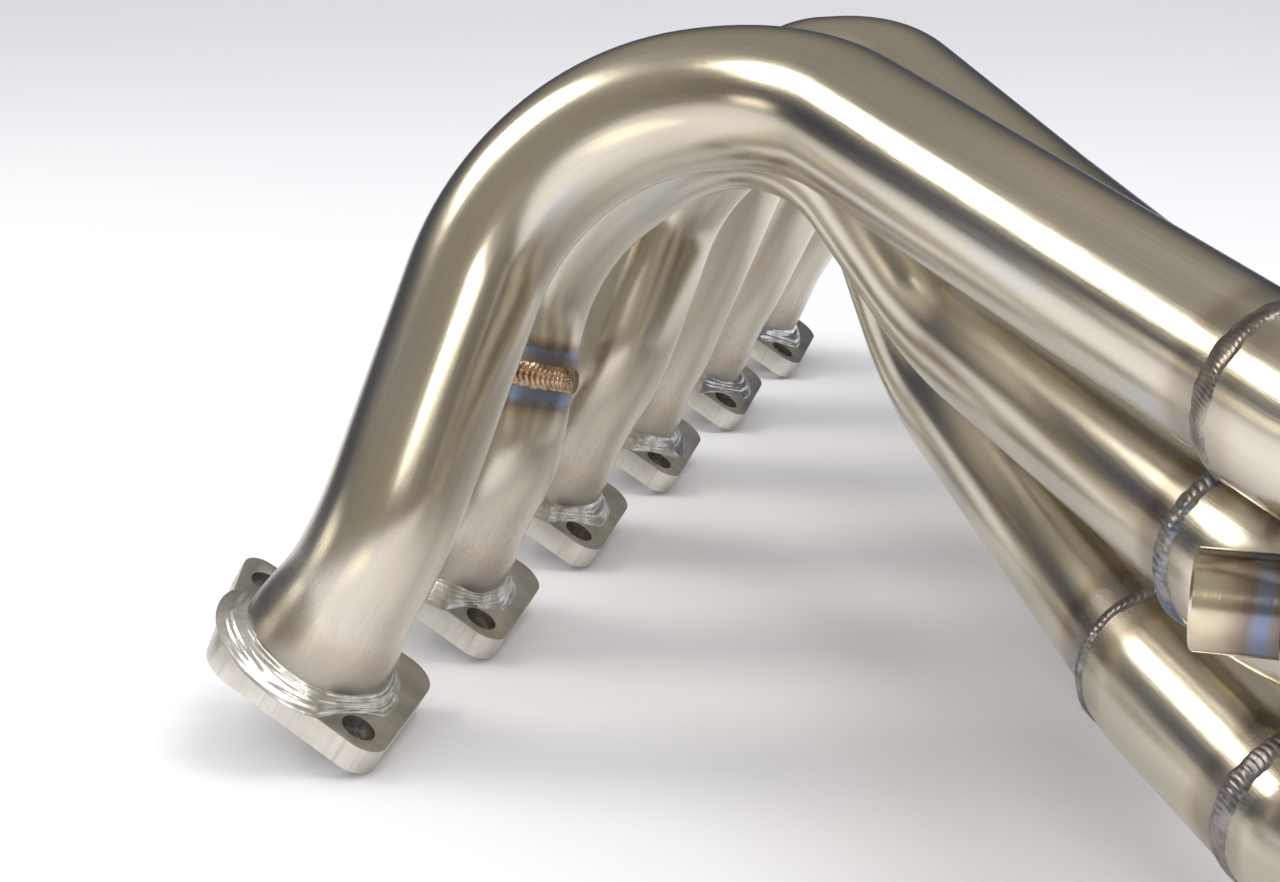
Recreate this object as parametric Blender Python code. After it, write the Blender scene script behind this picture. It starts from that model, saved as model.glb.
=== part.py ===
"""Tubular exhaust manifold for a straight-six engine, standing on a table.

Six port flanges in a row carry six primary tubes. The tubes arch over, run back
beside the row, step up to larger second-stage tubes and join three by three in
two merge collectors, each with an outlet pipe and a three-bolt outlet flange.

Metres, +Z up. The port row lies along +Y, port 1 is at its -Y end, and the
collectors lie on the +X side. The part rests on the lower edges of its port
flanges and on one lobe of each outlet flange.
"""
import math

import bmesh
import bpy
from mathutils import Matrix, Vector

# ---- driving dimensions -------------------------------------------------
PORT_PITCH = 0.091            # cylinder spacing of the engine
GASKET_TILT = math.radians(31.78)
CLEAR = 0.0003                # gap between pieces that touch
ORIGIN_SHIFT = Vector((-0.24058, -0.13111, 0.0))  # from port 1 to the middle of the base

FLANGE_THICKNESS = 0.008
FLANGE_CORNERS = ((-0.0365, 0.0260, 0.006), (-0.0195, -0.0253, 0.012),
                  (0.0348, -0.0250, 0.008), (0.0290, 0.0310, 0.010))
FLANGE_BOLT = (0.0245, -0.0164)   # one of the two opposite stud holes
STUD_HOLE_RADIUS = 0.005
PORT_BORE_RADIUS = 0.019

PRIMARY_RADIUS = 0.019
FOOT_RADIUS = 0.0220          # the foot is swaged out to meet its flange
FLARE_START = 0.004
FLARE_END = 0.034             # or the end of the straight foot, if that comes first
STAGE_RADIUS = 0.021
WALL = 0.0018
TUBE_SIDES = 12
ROUND_SIDES = 20              # outlet pipes and sensor bosses
BEND_STEP = math.radians(18.0)

WELD_GAP = 0.0032             # root gap that each ring bead fills
BEAD_WIDTH = WELD_GAP - 2 * CLEAR
BEAD_CROWN = 0.0016
BUTT_WELD_AT = 0.065          # along primary 2, from its gasket face

COLLECTOR_YAW = math.radians(-20.6)
COLLECTOR_DROP = math.asin(0.05)
SEAT_OFFSET = 0.0249          # centre of the cluster to the centre of each tube
SEAT_SOCKET = 0.008           # depth that the tubes stand inside the collector
SOCKET_CLEAR = 0.0010
LOBE_STEPS = 12
COLLECTOR_LENGTH = 0.088
COLLECTOR_WALL = 0.002
OUTLET_RADIUS = 0.030
OUTLET_PIPE_LENGTH = 0.040
CLUSTER_A = Vector((0.365, -0.130, 0.0))
CLUSTER_B = Vector((0.365, 0.022, 0.0))

OUTLET_FLANGE_THICKNESS = 0.010
OUTLET_BOLT_CIRCLE = 0.0415
OUTLET_LOBE_RADIUS = 0.012
OUTLET_BOLT_RADIUS = 0.0055

BOSS_RADIUS = 0.011
BOSS_BORE = 0.0078
BOSS_BLANK_LENGTH = 0.028     # before it is coped onto its tube
BOSS_A_END = Vector((0.2475, -0.085, 0.095))
BOSS_B_STANDOFF = 0.012       # mouth of the second boss above its outlet pipe

FILLET_LEG = 0.0021           # along the flange
FILLET_RISE = 0.0055          # along the tube foot
FILLET_LIP = 0.0022
MOUTH_BEAD_DEPTH = 0.0028     # collector bead, measured back from the mouth
MOUTH_BEAD_CROWN = 0.0022
MOUTH_LAND = 0.010            # straight length of a collector behind its mouth
TAPER_STEPS = 4
DRILL_OVERSHOOT = 0.002
OVERLAP_CUT = 0.010           # how far a coping cutter runs past the pipe
SHARP_ANGLE = math.radians(40.0)

# Bend corners of the primaries after the straight foot, and the bend radii.
# The first radius is the bend at the foot, whose length is the first number.
PRIMARIES = (
    (0.050, ((0.053, 0.0476, 0.167), (0.1276, 0.0423, 0.1805), (0.2604, -0.0781, 0.1391)),
     (0.058, 0.068, 0.069)),
    (0.048, ((0.031, 0.111, 0.123), (0.106, 0.110, 0.180), (0.172, 0.057, 0.118),
             (0.254, -0.048, 0.096)), (0.031, 0.066, 0.063, 0.063)),
    (0.060, ((0.049, 0.203, 0.132), (0.108, 0.179, 0.168), (0.154, 0.127, 0.086),
             (0.233, -0.001, 0.050)), (0.050, 0.050, 0.048, 0.065)),
    (0.037, ((0.064, 0.271, 0.154), (0.107, 0.253, 0.159), (0.177, 0.163, 0.131),
             (0.230, 0.088, 0.113)), (0.050, 0.034, 0.060, 0.065)),
    (0.044, ((0.056, 0.372, 0.125), (0.098, 0.350, 0.138), (0.160, 0.250, 0.092),
             (0.234, 0.142, 0.074)), (0.040, 0.042, 0.048, 0.065)),
    (0.062, ((0.062, 0.465, 0.105), (0.097, 0.444, 0.118), (0.152, 0.345, 0.069),
             (0.232, 0.208, 0.045)), (0.045, 0.036, 0.048, 0.065)),
)
THIRD_WELD = Vector((0.271, -0.051, 0.036))   # butt joint in the lowest second stage

# Base colour, roughness, metallic
STEEL = {
    "flange_steel": ((0.50, 0.49, 0.47), 0.42, 1.0),
    "tube_steel": ((0.66, 0.62, 0.55), 0.30, 1.0),
    "weld_steel": ((0.42, 0.38, 0.34), 0.45, 1.0),
    "fillet_steel": ((0.72, 0.71, 0.69), 0.35, 1.0),
    "boss_steel": ((0.70, 0.62, 0.45), 0.25, 1.0),
}


# ---- scene helpers ------------------------------------------------------
def clear_scene():
    for obj in list(bpy.data.objects):
        bpy.data.objects.remove(obj, do_unlink=True)


def steel(name):
    """The named steel as a Principled material, made once."""
    material = bpy.data.materials.get(name)
    if material:
        return material
    colour, roughness, metallic = STEEL[name]
    material = bpy.data.materials.new(name)
    material.use_nodes = True
    shader = material.node_tree.nodes["Principled BSDF"]
    shader.inputs["Base Color"].default_value = (*colour, 1.0)
    shader.inputs["Roughness"].default_value = roughness
    shader.inputs["Metallic"].default_value = metallic
    material.diffuse_color = (*colour, 1.0)
    return material


def place(name, mesh, matrix=None):
    """Add a mesh as a named object, moved with the whole part's origin."""
    obj = bpy.data.objects.new(name, mesh)
    obj.matrix_world = Matrix.Translation(ORIGIN_SHIFT) @ (matrix or Matrix.Identity(4))
    bpy.context.scene.collection.objects.link(obj)
    return obj


def finish_mesh(name, bm, material, smooth=True):
    """Close a bmesh into a mesh with outward faces and one material."""
    bmesh.ops.recalc_face_normals(bm, faces=bm.faces)
    mesh = bpy.data.meshes.new(name)
    bm.to_mesh(mesh)
    bm.free()
    mesh.materials.append(steel(material))
    if smooth:
        mesh.shade_smooth()
        mesh.set_sharp_from_angle(angle=SHARP_ANGLE)
    return mesh


def evaluated(obj, name):
    """The mesh of an object with its modifiers applied."""
    bpy.context.view_layer.update()
    graph = bpy.context.evaluated_depsgraph_get()
    mesh = bpy.data.meshes.new_from_object(obj.evaluated_get(graph))
    mesh.name = name
    return mesh


def cut(obj, cutters):
    """Cut the cutters out of an object for good, and remove them."""
    for cutter in cutters:
        modifier = obj.modifiers.new("cut", "BOOLEAN")
        modifier.operation = "DIFFERENCE"
        modifier.solver = "EXACT"
        modifier.object = cutter
    old = obj.data
    mesh = evaluated(obj, old.name + "_cut")
    obj.modifiers.clear()
    obj.data = mesh
    bpy.data.meshes.remove(old)
    for cutter in cutters:
        bpy.data.objects.remove(cutter, do_unlink=True)


# ---- rings and lofts ----------------------------------------------------
def add_ring(bm, centre, side, up, outline):
    """One loop of vertices; outline holds (radius, angle) pairs."""
    return [bm.verts.new(centre + side * (r * math.cos(a)) + up * (r * math.sin(a)))
            for r, a in outline]


def circle(radius, sides=TUBE_SIDES):
    return [(radius, 2 * math.pi * i / sides) for i in range(sides)]


def bridge(bm, first, second):
    count = len(first)
    for i in range(count):
        j = (i + 1) % count
        bm.faces.new((first[i], first[j], second[j], second[i]))


def closed_chain(bm, rings):
    """Join a closed sequence of loops into one ring-shaped body."""
    for i, ring in enumerate(rings):
        bridge(bm, ring, rings[(i + 1) % len(rings)])


def axis_frame(axis):
    """Two directions square to an axis, the first one level."""
    side = Vector((0, 0, 1)).cross(axis)
    if side.length < 1e-6:
        side = Vector((1, 0, 0))
    side.normalize()
    return side, axis.cross(side).normalized()


def turned_ring(name, centre, axis, profile, material, sides=TUBE_SIDES):
    """A closed (radius, height) profile turned round an axis."""
    side, up = axis_frame(axis)
    bm = bmesh.new()
    rings = [add_ring(bm, centre + axis * h, side, up, circle(r, sides)) for r, h in profile]
    closed_chain(bm, rings)
    return place(name, finish_mesh(name, bm, material))


# ---- tube routes --------------------------------------------------------
def route(corners, bends):
    """Centre line of straight runs and round bends: points and tangents."""
    points = [(corners[0], (corners[1] - corners[0]).normalized())]
    for i, radius in enumerate(bends, start=1):
        before = (corners[i] - corners[i - 1]).normalized()
        after = (corners[i + 1] - corners[i]).normalized()
        turn = before.angle(after)
        reach = radius * math.tan(turn / 2)
        axis = before.cross(after).normalized()
        start = corners[i] - before * reach
        centre = start + axis.cross(before) * radius
        steps = max(1, math.ceil(turn / BEND_STEP))
        for k in range(steps + 1):
            spin = Matrix.Rotation(turn * k / steps, 3, axis)
            points.append((centre + spin @ (start - centre), spin @ before))
    points.append((corners[-1], (corners[-1] - corners[-2]).normalized()))
    return points


def flare_end(points):
    """Where the swaged foot is down to the tube's own radius."""
    return min(FLARE_END, (points[1][0] - points[0][0]).length)


def with_flare(points):
    """Extra stations along the straight foot, where the tube narrows."""
    first, direction = points[0]
    last = flare_end(points)
    stations = [FLARE_START, (FLARE_START + last) / 2]
    if last == FLARE_END:
        stations.append(last)
    extra = [(first + direction * s, direction) for s in stations]
    return [points[0]] + extra + points[1:]


def foot_radius(last):
    """Radius of a primary by the distance from its foot, for a flare that ends at last."""
    def radius_at(distance):
        t = min(max((distance - FLARE_START) / (last - FLARE_START), 0.0), 1.0)
        return FOOT_RADIUS + (PRIMARY_RADIUS - FOOT_RADIUS) * t * t * (3 - 2 * t)
    return radius_at


def sweep(bm, points, radius_at):
    """Loops of a round section carried along a route without twisting."""
    side, up = axis_frame(points[0][1])
    rings = []
    distance = 0.0
    for i, (centre, tangent) in enumerate(points):
        if i:
            last_centre, last_tangent = points[i - 1]
            distance += (centre - last_centre).length
            turn = last_tangent.rotation_difference(tangent)
            side = (turn @ side).normalized()
            up = tangent.cross(side).normalized()
        rings.append(add_ring(bm, centre, side, up, circle(radius_at(distance))))
    return rings


def tube(name, points, radius_at, material="tube_steel"):
    """An open-ended hollow tube along a route."""
    bm = bmesh.new()
    outer = sweep(bm, points, radius_at)
    inner = sweep(bm, points, lambda s: radius_at(s) - WALL)
    closed_chain(bm, outer + inner[::-1])
    return place(name, finish_mesh(name, bm, material))


def solid_sweep(name, points, radius):
    """A capped solid along a route, used only as a cutter."""
    bm = bmesh.new()
    rings = sweep(bm, points, lambda s: radius)
    for first, second in zip(rings, rings[1:]):
        bridge(bm, first, second)
    bm.faces.new(rings[0][::-1])
    bm.faces.new(rings[-1])
    return as_cutter(place(name, finish_mesh(name, bm, "tube_steel", smooth=False)))


def rod(name, start, end, radius, sides=16):
    """A capped cylinder between two points, used only as a cutter."""
    axis = (end - start).normalized()
    side, up = axis_frame(axis)
    bm = bmesh.new()
    first = add_ring(bm, start, side, up, circle(radius, sides))
    second = add_ring(bm, end, side, up, circle(radius, sides))
    bridge(bm, first, second)
    bm.faces.new(first[::-1])
    bm.faces.new(second)
    return as_cutter(place(name, finish_mesh(name, bm, "tube_steel", smooth=False)))


def as_cutter(obj):
    obj.hide_render = True
    obj.display_type = "WIRE"
    return obj


def shortened(points, at_start, at_end):
    """The same route with its first and last straight run cut back."""
    (first, first_axis), (last, last_axis) = points[0], points[-1]
    trimmed = list(points)
    trimmed[0] = (first + first_axis * at_start, first_axis)
    trimmed[-1] = (last - last_axis * at_end, last_axis)
    return trimmed


def ring_weld(name, centre, axis, inner, outer):
    """A bead that fills the gap between two tube ends and stands proud."""
    half = BEAD_WIDTH / 2
    profile = ((inner, -half), (inner, half), (outer, half),
               (outer + BEAD_CROWN, 0.0), (outer, -half))
    return turned_ring(name, centre, axis, profile, "weld_steel")


# ---- port flanges -------------------------------------------------------
def rounded_outline(corners, steps=5):
    """Polygon corners (x, y, radius) with each corner rounded by an arc."""
    outline = []
    count = len(corners)
    for i, (x, y, radius) in enumerate(corners):
        here = Vector((x, y))
        to_last = (Vector(corners[i - 1][:2]) - here).normalized()
        to_next = (Vector(corners[(i + 1) % count][:2]) - here).normalized()
        half = to_last.angle(to_next) / 2
        reach = radius / math.tan(half)
        centre = here + (to_last + to_next).normalized() * (radius / math.sin(half))
        start = here + to_last * reach - centre
        end = here + to_next * reach - centre
        turn = start.angle_signed(end)
        for k in range(steps + 1):
            spin = Matrix.Rotation(-turn * k / steps, 2)
            outline.append(centre + spin @ start)
    return outline


def plate(name, outline, thickness, material):
    """A flat plate with the given outline, standing on z = 0."""
    bm = bmesh.new()
    face = bm.faces.new([bm.verts.new((p.x, p.y, 0.0)) for p in outline])
    raised = bmesh.ops.extrude_face_region(bm, geom=[face])
    top = [v for v in raised["geom"] if isinstance(v, bmesh.types.BMVert)]
    bmesh.ops.translate(bm, verts=top, vec=(0.0, 0.0, thickness))
    return finish_mesh(name, bm, material, smooth=False)


def drilled_plate(name, outline, thickness, holes, material):
    """A plate with round holes (x, y, radius) cut right through."""
    blank = place(name, plate(name, outline, thickness, material))
    drills = [rod("drill", Vector((x, y, -DRILL_OVERSHOOT)),
                  Vector((x, y, thickness + DRILL_OVERSHOOT)), r) for x, y, r in holes]
    cut(blank, drills)
    mesh = blank.data
    bpy.data.objects.remove(blank, do_unlink=True)
    mesh.shade_smooth()
    mesh.set_sharp_from_angle(angle=SHARP_ANGLE)
    return mesh


PORT_OUTLINE = rounded_outline(FLANGE_CORNERS)
PORT_LIFT = max(p.x for p in PORT_OUTLINE) * math.sin(GASKET_TILT)
PORT_AXIS = Vector((math.sin(GASKET_TILT), 0.0, math.cos(GASKET_TILT)))


def port_centre(index):
    return Vector((0.0, PORT_PITCH * index, PORT_LIFT))


def port_flanges():
    """Six equal flanges, tilted so that each stands on its lower edge."""
    x, y = FLANGE_BOLT
    holes = ((0.0, 0.0, PORT_BORE_RADIUS), (x, y, STUD_HOLE_RADIUS), (-x, -y, STUD_HOLE_RADIUS))
    mesh = drilled_plate("port_flange", PORT_OUTLINE, FLANGE_THICKNESS, holes, "flange_steel")
    tilt = Matrix.Rotation(GASKET_TILT, 4, "Y")
    for i in range(len(PRIMARIES)):
        matrix = Matrix.Translation(port_centre(i)) @ tilt
        place(f"port_flange_{i + 1}", mesh, matrix)


def flange_welds():
    """The fillet that joins each tube foot to its flange."""
    inner = FOOT_RADIUS + CLEAR
    profile = ((inner, CLEAR), (inner + FILLET_LEG, CLEAR),
               (inner + FILLET_LEG * 0.8, FILLET_LIP), (inner, FILLET_RISE))
    for i in range(len(PRIMARIES)):
        base = port_centre(i) + PORT_AXIS * FLANGE_THICKNESS
        turned_ring(f"flange_weld_{i + 1}", base, PORT_AXIS, profile, "fillet_steel")


# ---- tubes --------------------------------------------------------------
def primary_route(index):
    """Whole centre line of a primary, from its foot to its step weld, and where its flare ends."""
    foot, corners, bends = PRIMARIES[index]
    seat = port_centre(index) + PORT_AXIS * (FLANGE_THICKNESS + CLEAR)
    knee = port_centre(index) + PORT_AXIS * foot
    points = route([seat, knee] + [Vector(c) for c in corners], bends)
    return with_flare(points), flare_end(points)


def split_route(points, distance):
    """Cut a route in two at a distance from its start, on a straight run."""
    travelled = 0.0
    for i in range(1, len(points)):
        step = (points[i][0] - points[i - 1][0]).length
        if travelled + step > distance:
            axis = points[i][1]
            joint = points[i - 1][0] + axis * (distance - travelled)
            return points[:i] + [(joint, axis)], [(joint, axis)] + points[i:]
        travelled += step
    raise ValueError("the joint lies past the end of the route")


def primaries():
    """Six primaries; the second is made of two lengths with a butt weld."""
    routes = []
    half_gap = WELD_GAP / 2
    for i in range(len(PRIMARIES)):
        points, narrowed = primary_route(i)
        routes.append(points)
        if i == 1:
            lower, upper = split_route(points, BUTT_WELD_AT)
            tube("primary_2_foot", shortened(lower, 0.0, half_gap), foot_radius(narrowed))
            tube("primary_2", shortened(upper, half_gap, half_gap), lambda s: PRIMARY_RADIUS)
            joint, axis = lower[-1]
            ring_weld("butt_weld_2", joint, axis, PRIMARY_RADIUS - WALL, PRIMARY_RADIUS)
        else:
            tube(f"primary_{i + 1}", shortened(points, 0.0, half_gap), foot_radius(narrowed))
        end, axis = points[-1]
        ring_weld(f"step_weld_{i + 1}", end, axis, PRIMARY_RADIUS - WALL, STAGE_RADIUS)
    return routes


# ---- collectors ---------------------------------------------------------
COLLECTOR_AXIS = Vector((math.cos(COLLECTOR_YAW) * math.cos(COLLECTOR_DROP),
                         math.sin(COLLECTOR_YAW) * math.cos(COLLECTOR_DROP),
                         -math.sin(COLLECTOR_DROP)))
COLLECTOR_SIDE, COLLECTOR_UP = axis_frame(COLLECTOR_AXIS)
OUTLET_REACH = OUTLET_BOLT_CIRCLE + OUTLET_LOBE_RADIUS
OUTLET_LENGTH = COLLECTOR_LENGTH + 2 * WELD_GAP + OUTLET_PIPE_LENGTH + OUTLET_FLANGE_THICKNESS
SEATS = {"top": math.radians(120.0), "outer": 0.0, "bottom": math.radians(240.0)}


def cluster_centre(cluster):
    """Middle of the tube ends, at the height that rests the outlet on z = 0."""
    lift = OUTLET_REACH * math.cos(COLLECTOR_DROP)
    rise = (OUTLET_LENGTH - SEAT_SOCKET) * math.sin(COLLECTOR_DROP)
    return Vector((cluster.x, cluster.y, lift + rise))


def seat(cluster, which, back=0.0):
    """Centre of a tube end in the cluster, or a point before it."""
    angle = SEATS[which]
    offset = COLLECTOR_SIDE * math.cos(angle) + COLLECTOR_UP * math.sin(angle)
    return cluster_centre(cluster) + offset * SEAT_OFFSET - COLLECTOR_AXIS * back


def stage_route(start, axis, lead, middle, cluster, which, back, bend):
    """Second-stage tube from a step weld to its seat in a collector."""
    corners = [start, start + axis * lead, *middle, seat(cluster, which, back), seat(cluster, which)]
    return route(corners, [bend] * (len(corners) - 2))


def second_stages(routes):
    """The larger tubes between the step welds and the two collectors."""
    layout = (
        (0.020, [Vector((0.300, -0.111, 0.132))], CLUSTER_A, "top", 0.031, 0.040),
        (0.016, [Vector((0.306, -0.079, 0.083))], CLUSTER_A, "outer", 0.022, 0.045),
        None,
        (0.020, [], CLUSTER_B, "top", 0.024, 0.045),
        (0.030, [], CLUSTER_B, "bottom", 0.042, 0.045),
        (0.030, [Vector((0.318, 0.103, 0.044))], CLUSTER_B, "outer", 0.024, 0.036),
    )
    half_gap = WELD_GAP / 2
    built = {}
    for i, plan in enumerate(layout):
        start, axis = routes[i][-1]
        if plan is None:
            points = route([start, start + axis * 0.012, THIRD_WELD], [0.060])
            trimmed = shortened(points, half_gap, half_gap)
        else:
            points = stage_route(start, axis, *plan)
            trimmed = shortened(points, half_gap, 0.0)
        tube(f"second_stage_{i + 1}", trimmed, lambda s: STAGE_RADIUS)
        built[i + 1] = points
    _, axis = built[3][-1]
    lower = stage_route(THIRD_WELD, axis, 0.014, [], CLUSTER_A, "bottom", 0.044, 0.045)
    tube("third_stage_3", shortened(lower, half_gap, 0.0), lambda s: STAGE_RADIUS)
    ring_weld("butt_weld_3", THIRD_WELD, axis, STAGE_RADIUS - WALL, STAGE_RADIUS)
    return built


def trefoil(radius, steps=LOBE_STEPS):
    """Outline round the three tubes of a cluster, as (radius, angle) pairs."""
    half_width = SEAT_OFFSET * math.sin(math.pi / 3)
    valley = SEAT_OFFSET / 2 + math.sqrt(max(radius ** 2 - half_width ** 2, 0.0))
    reach = math.atan2(valley * math.sin(math.pi / 3), valley * math.cos(math.pi / 3) - SEAT_OFFSET)
    outline = []
    for lobe in range(3):
        turn = lobe * 2 * math.pi / 3
        for k in range(steps):
            spread = -reach + 2 * reach * k / steps
            x = SEAT_OFFSET + radius * math.cos(spread)
            y = radius * math.sin(spread)
            outline.append((math.hypot(x, y), turn + math.atan2(y, x)))
    return outline


def round_like(outline, radius):
    """A circle with its points at another outline's angles."""
    return [(radius, angle) for _, angle in outline]


def blended(start, end, t):
    """An outline between two others, easing in and out."""
    ease = t * t * (3 - 2 * t)
    return [(a * (1 - ease) + b * ease, angle) for (a, angle), (b, _) in zip(start, end)]


def loft(name, mouth, stations, material):
    """Closed chain of outlines at distances along the collector axis."""
    bm = bmesh.new()
    rings = [add_ring(bm, mouth + COLLECTOR_AXIS * s, COLLECTOR_SIDE, COLLECTOR_UP, outline)
             for s, outline in stations]
    closed_chain(bm, rings)
    return place(name, finish_mesh(name, bm, material))


def collector(letter, cluster):
    """Merge collector, its weld, the outlet pipe, its weld and its flange."""
    mouth = cluster_centre(cluster) - COLLECTOR_AXIS * SEAT_SOCKET
    socket = STAGE_RADIUS + SOCKET_CLEAR
    inner_mouth = trefoil(socket)
    outer_mouth = trefoil(socket + COLLECTOR_WALL)
    inner_end = round_like(inner_mouth, OUTLET_RADIUS - COLLECTOR_WALL)
    outer_end = round_like(outer_mouth, OUTLET_RADIUS)
    taper = COLLECTOR_LENGTH - MOUTH_LAND
    outside = [(0.0, outer_mouth)]
    inside = [(0.0, inner_mouth)]
    for k in range(TAPER_STEPS + 1):
        s = MOUTH_LAND + taper * k / TAPER_STEPS
        outside.append((s, blended(outer_mouth, outer_end, k / TAPER_STEPS)))
        inside.append((s, blended(inner_mouth, inner_end, k / TAPER_STEPS)))
    loft(f"collector_{letter}", mouth, outside + inside[::-1], "tube_steel")

    bead = ((-MOUTH_BEAD_DEPTH, socket), (-CLEAR, socket), (-CLEAR, socket + MOUTH_BEAD_CROWN),
            (-MOUTH_BEAD_DEPTH * 0.7, socket + MOUTH_BEAD_CROWN / 2))
    loft(f"collector_weld_{letter}", mouth, [(s, trefoil(r)) for s, r in bead], "weld_steel")

    joint = mouth + COLLECTOR_AXIS * (COLLECTOR_LENGTH + WELD_GAP / 2)
    ring_weld(f"outlet_weld_{letter}", joint, COLLECTOR_AXIS,
              OUTLET_RADIUS - COLLECTOR_WALL, OUTLET_RADIUS)
    pipe_start = joint + COLLECTOR_AXIS * (WELD_GAP / 2)
    pipe_end = pipe_start + COLLECTOR_AXIS * OUTLET_PIPE_LENGTH
    bore = OUTLET_RADIUS - COLLECTOR_WALL
    profile = ((0.0, bore), (0.0, OUTLET_RADIUS), (OUTLET_PIPE_LENGTH, OUTLET_RADIUS),
               (OUTLET_PIPE_LENGTH, bore))
    pipe = loft(f"outlet_pipe_{letter}", pipe_start,
                [(s, circle(r, ROUND_SIDES)) for s, r in profile], "tube_steel")
    face = pipe_end + COLLECTOR_AXIS * WELD_GAP
    ring_weld(f"outlet_flange_weld_{letter}", pipe_end + COLLECTOR_AXIS * (WELD_GAP / 2),
              COLLECTOR_AXIS, bore, OUTLET_RADIUS)
    return pipe, pipe_start, face


def outlet_flange_outline():
    """Triangle of three round lobes, one of them straight down."""
    lobes = []
    for k in range(3):
        angle = math.radians(-90.0 + 120.0 * k)
        for step in range(7):
            spread = angle + math.radians(-60.0 + 20.0 * step)
            lobes.append(Vector((OUTLET_BOLT_CIRCLE * math.cos(angle) + OUTLET_LOBE_RADIUS * math.cos(spread),
                                 OUTLET_BOLT_CIRCLE * math.sin(angle) + OUTLET_LOBE_RADIUS * math.sin(spread))))
    return lobes


def outlet_flanges(faces):
    holes = [(0.0, 0.0, OUTLET_RADIUS - COLLECTOR_WALL)]
    for k in range(3):
        angle = math.radians(-90.0 + 120.0 * k)
        holes.append((OUTLET_BOLT_CIRCLE * math.cos(angle), OUTLET_BOLT_CIRCLE * math.sin(angle),
                      OUTLET_BOLT_RADIUS))
    mesh = drilled_plate("outlet_flange", outlet_flange_outline(), OUTLET_FLANGE_THICKNESS,
                         holes, "flange_steel")
    turn = Matrix((COLLECTOR_SIDE, COLLECTOR_UP, COLLECTOR_AXIS)).transposed().to_4x4()
    for letter, face in faces.items():
        place(f"outlet_flange_{letter}", mesh, Matrix.Translation(face) @ turn)


# ---- sensor bosses ------------------------------------------------------
def sensor_boss(name, end, axis, parent, parent_cutter):
    """A round boss that is coped onto a tube and opens into it."""
    profile = ((BOSS_BORE, 0.0), (BOSS_RADIUS, 0.0), (BOSS_RADIUS, BOSS_BLANK_LENGTH),
               (BOSS_BORE, BOSS_BLANK_LENGTH))
    boss = turned_ring(name, end, axis, profile, "boss_steel", ROUND_SIDES)
    cut(boss, [parent_cutter])
    drill = rod("drill", end - axis * DRILL_OVERSHOOT,
                end + axis * (BOSS_BLANK_LENGTH + DRILL_OVERSHOOT), BOSS_BORE)
    cut(parent, [drill])


def build():
    clear_scene()
    port_flanges()
    flange_welds()
    routes = primaries()
    stages = second_stages(routes)
    faces = {}
    for letter, cluster in (("a", CLUSTER_A), ("b", CLUSTER_B)):
        pipe, pipe_start, faces[letter] = collector(letter, cluster)
        if letter == "b":
            middle = pipe_start + COLLECTOR_AXIS * (OUTLET_PIPE_LENGTH / 2)
            mouth = middle + COLLECTOR_UP * (OUTLET_RADIUS + BOSS_B_STANDOFF)
            body = rod("pipe_cutter", pipe_start - COLLECTOR_AXIS * OVERLAP_CUT,
                       pipe_start + COLLECTOR_AXIS * (OUTLET_PIPE_LENGTH + OVERLAP_CUT),
                       OUTLET_RADIUS + CLEAR, ROUND_SIDES)
            sensor_boss("sensor_boss_b", mouth, -COLLECTOR_UP, pipe, body)
    outlet_flanges(faces)
    stage = bpy.data.objects["second_stage_2"]
    core = solid_sweep("stage_cutter", stages[2], STAGE_RADIUS + CLEAR)
    sensor_boss("sensor_boss_a", BOSS_A_END, Vector((1.0, 0.0, 0.0)), stage, core)


build()
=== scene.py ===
"""Finished tubular exhaust manifold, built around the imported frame.

Tubes are drawn from rings by extruding and spinning, as a tube bender works.
Weld beads are grids wrapped round the joints and heaped up ripple by ripple.
Metres, +Z up, in the frame of the CAD model.
"""
import math

import bpy
import numpy as np
from mathutils import Matrix, Vector, noise


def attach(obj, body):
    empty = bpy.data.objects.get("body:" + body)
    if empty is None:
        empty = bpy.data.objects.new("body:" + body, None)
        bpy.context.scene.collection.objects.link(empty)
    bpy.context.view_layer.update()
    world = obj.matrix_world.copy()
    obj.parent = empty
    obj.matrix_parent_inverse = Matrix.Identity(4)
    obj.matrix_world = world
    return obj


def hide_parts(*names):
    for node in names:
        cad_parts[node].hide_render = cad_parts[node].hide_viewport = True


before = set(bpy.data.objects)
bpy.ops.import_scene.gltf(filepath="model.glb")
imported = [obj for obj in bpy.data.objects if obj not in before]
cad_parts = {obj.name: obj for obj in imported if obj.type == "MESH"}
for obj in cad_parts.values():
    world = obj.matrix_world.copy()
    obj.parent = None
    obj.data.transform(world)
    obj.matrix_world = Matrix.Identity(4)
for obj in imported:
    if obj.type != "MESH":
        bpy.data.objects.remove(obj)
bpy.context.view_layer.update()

# ---- dimensions shared with the CAD model ---------------------------------
PORT_PITCH = 0.091
GASKET_TILT = math.radians(31.78)
PORT_LIFT = 0.017849
ORIGIN_SHIFT = Vector((-0.24058, -0.13111, 0.0))
CLEAR = 0.0003
FLANGE_THICKNESS = 0.008
FLANGE_CORNERS = ((-0.0365, 0.0260, 0.006), (-0.0195, -0.0253, 0.012),
                  (0.0348, -0.0250, 0.008), (0.0290, 0.0310, 0.010))
FLANGE_BOLT = (0.0245, -0.0164)
STUD_HOLE_RADIUS = 0.005
PORT_BORE_RADIUS = 0.019
PRIMARY_RADIUS = 0.019
FOOT_RADIUS = 0.0220
FLARE_START = 0.004
FLARE_END = 0.034
STAGE_RADIUS = 0.021
WALL = 0.0018
WELD_GAP = 0.0032
BUTT_WELD_AT = 0.065
COLLECTOR_YAW = math.radians(-20.6)
COLLECTOR_DROP = math.asin(0.05)
SEAT_OFFSET = 0.0249
SEAT_SOCKET = 0.008
SOCKET_CLEAR = 0.0010
COLLECTOR_LENGTH = 0.088
COLLECTOR_WALL = 0.002
OUTLET_RADIUS = 0.030
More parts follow.
